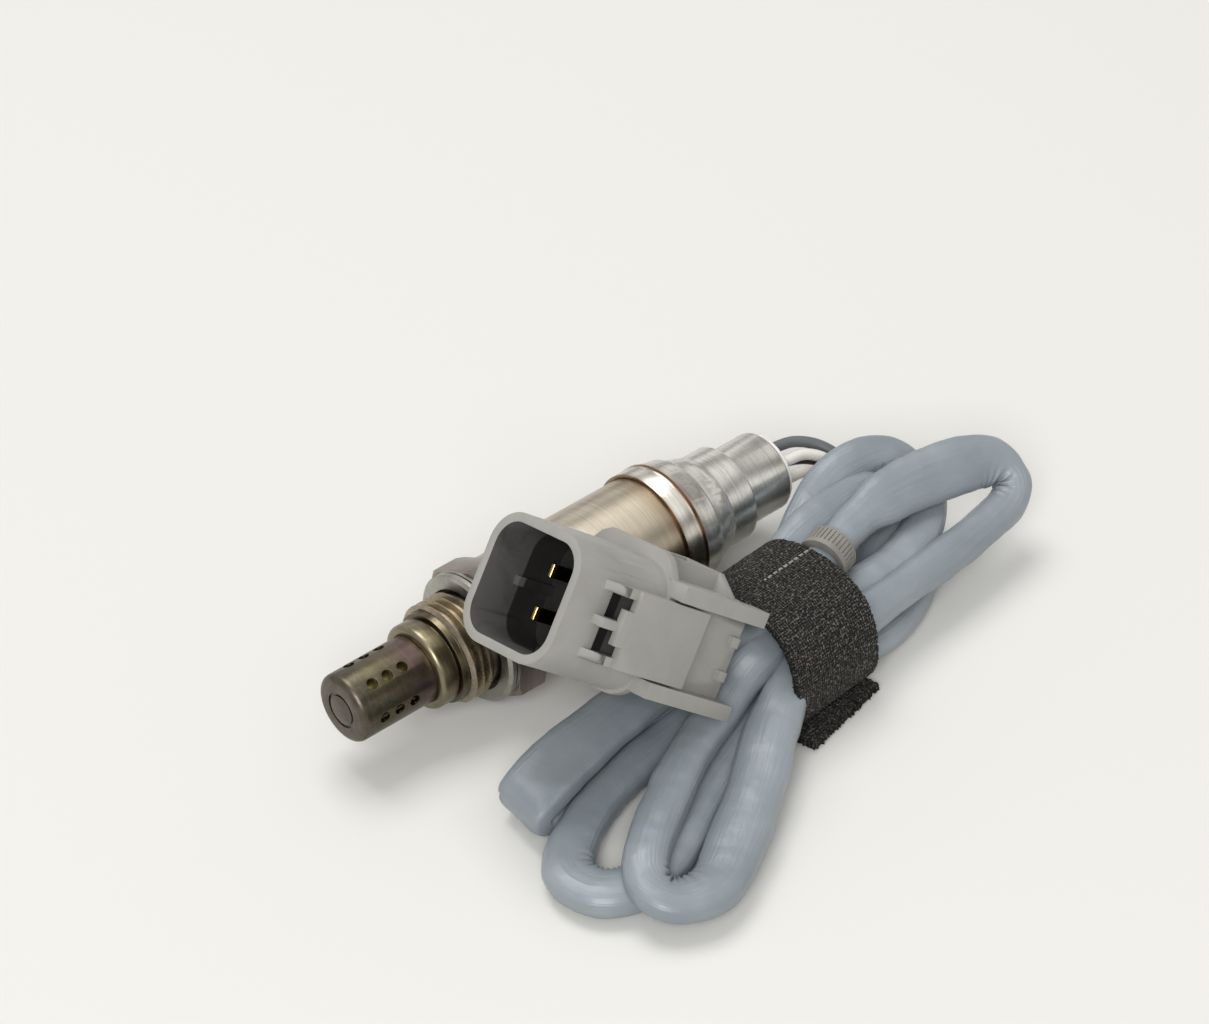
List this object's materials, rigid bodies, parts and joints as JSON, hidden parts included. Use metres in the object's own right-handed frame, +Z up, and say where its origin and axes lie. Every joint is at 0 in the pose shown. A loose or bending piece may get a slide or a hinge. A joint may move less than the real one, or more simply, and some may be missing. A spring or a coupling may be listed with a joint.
{
  "type": "oxygen sensor",
  "caption": "Heated exhaust oxygen sensor with a perforated tip, threaded hexagonal shell and a grey blade connector on a folded, tied blue-grey lead.",
  "frame": {"origin": "on the surface it lies on, under the middle of the sensor's axis", "axes": "+X along the sensor's axis from the perforated tip to the leads, +Z up, the lead and connector on the -Y side"},
  "size_m": [0.1267, 0.077, 0.0494],
  "materials": {
    "heat_tinted_steel": "drawn stainless steel, heat-tinted olive and bronze",
    "inner_tube_steel": "drawn stainless steel with a straw heat tint",
    "shell_steel": "turned stainless steel, warm grey",
    "gasket_steel": "plain folded steel",
    "zirconia": "fired zirconia, matte",
    "talc": "pressed talc powder",
    "white_ceramic": "unglazed white ceramic",
    "heater_ceramic": "fired alumina rod, grey",
    "contact_metal": "stamped spring steel, nickel plated",
    "sleeve_tube_steel": "drawn stainless tube, champagne tint",
    "cover_steel": "satin stainless steel",
    "black_rubber": "moulded heat-proof rubber",
    "grey_plastic": "moulded grey plastic, fine satin",
    "pin_gold": "gold-coloured plated blades",
    "seal_rubber": "soft seal rubber",
    "tie_fabric": "hook-and-loop band, napped",
    "collar_plastic": "ribbed light grey ring",
    "lead_sleeve": "flattened blue-grey sleeve over the leads, satin",
    "grey_insulation": "smooth insulation, dark grey",
    "white_insulation": "smooth insulation, off-white",
    "black_insulation": "smooth insulation, black"
  },
  "bodies": {
    "root": {"protection_tube_outer": "heat_tinted_steel", "protection_tube_inner": "inner_tube_steel", "sensor_shell": "shell_steel", "sealing_gasket": "gasket_steel", "sensing_element": "zirconia", "talc_ring": "talc", "ceramic_bush": "white_ceramic", "press_ring": "gasket_steel", "heater_rod": "heater_ceramic", "outer_contact_sleeve": "contact_metal", "inner_contact_sleeve": "contact_metal", "contact_carrier": "white_ceramic", "carrier_spring_clip": "contact_metal", "contact_clip_1": "contact_metal", "contact_clip_2": "contact_metal", "contact_clip_3": "contact_metal", "contact_clip_4": "contact_metal", "outer_sleeve_tube": "sleeve_tube_steel", "rear_cover": "cover_steel", "grommet": "black_rubber", "connector_housing": "grey_plastic", "pin_terminal_1": "pin_gold", "pin_terminal_2": "pin_gold", "pin_terminal_3": "pin_gold", "pin_terminal_4": "pin_gold", "rear_seal": "seal_rubber", "rear_seal_cover": "grey_plastic", "cable_tie": "tie_fabric", "ribbed_collar": "collar_plastic", "lead_hank": "lead_sleeve", "lead_grey": "grey_insulation", "lead_white_rear": "white_insulation", "lead_black": "black_insulation", "lead_white_front": "white_insulation"}
  },
  "joints": []
}
